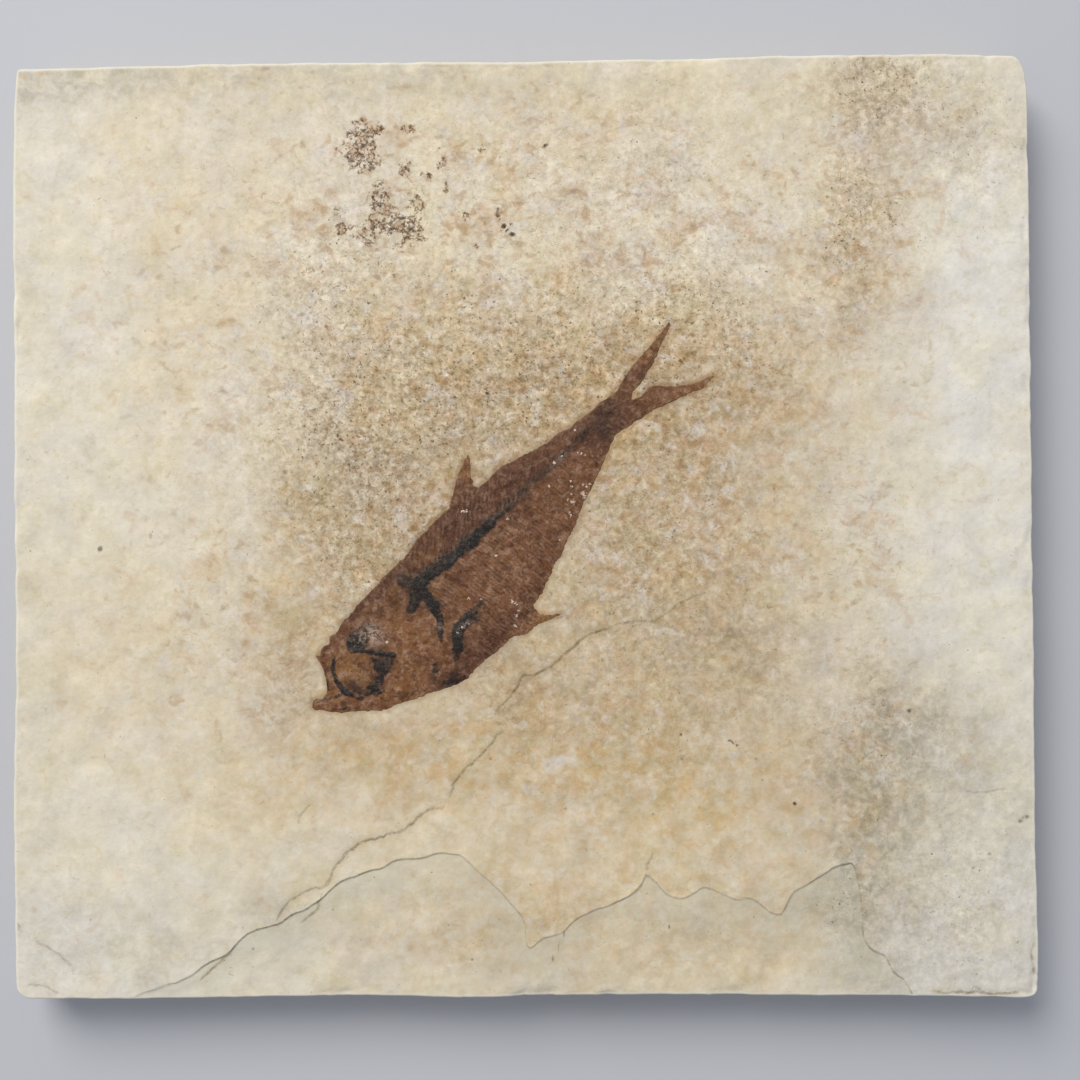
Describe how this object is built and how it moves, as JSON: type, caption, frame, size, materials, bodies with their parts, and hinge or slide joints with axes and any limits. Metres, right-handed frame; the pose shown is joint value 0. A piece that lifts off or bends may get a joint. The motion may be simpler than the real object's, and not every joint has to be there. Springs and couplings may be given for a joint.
{
  "type": "fossil fish slab",
  "caption": "Sawn plate of laminated limestone with a small herring-like fossil fish in low relief on its bedding face; lies flat or leans on a plate stand",
  "frame": {"origin": "centre of the plate's outer box, on the plane of its underside", "axes": "+X along the longer side of the plate, from the fish's head end to its tail end; +Y along the shorter side, from the ledge towards the fish's back; +Z out of the fossil face"},
  "size_m": [0.1564, 0.144, 0.011],
  "materials": {
    "limestone": "matte, gently lumpy bedding face in cream, tan and grey",
    "fossil_bone": "dark brown mineral film with glossy black bone"
  },
  "bodies": {
    "root": {"limestone_slab": "limestone", "fossil_fish": "fossil_bone"}
  },
  "joints": []
}
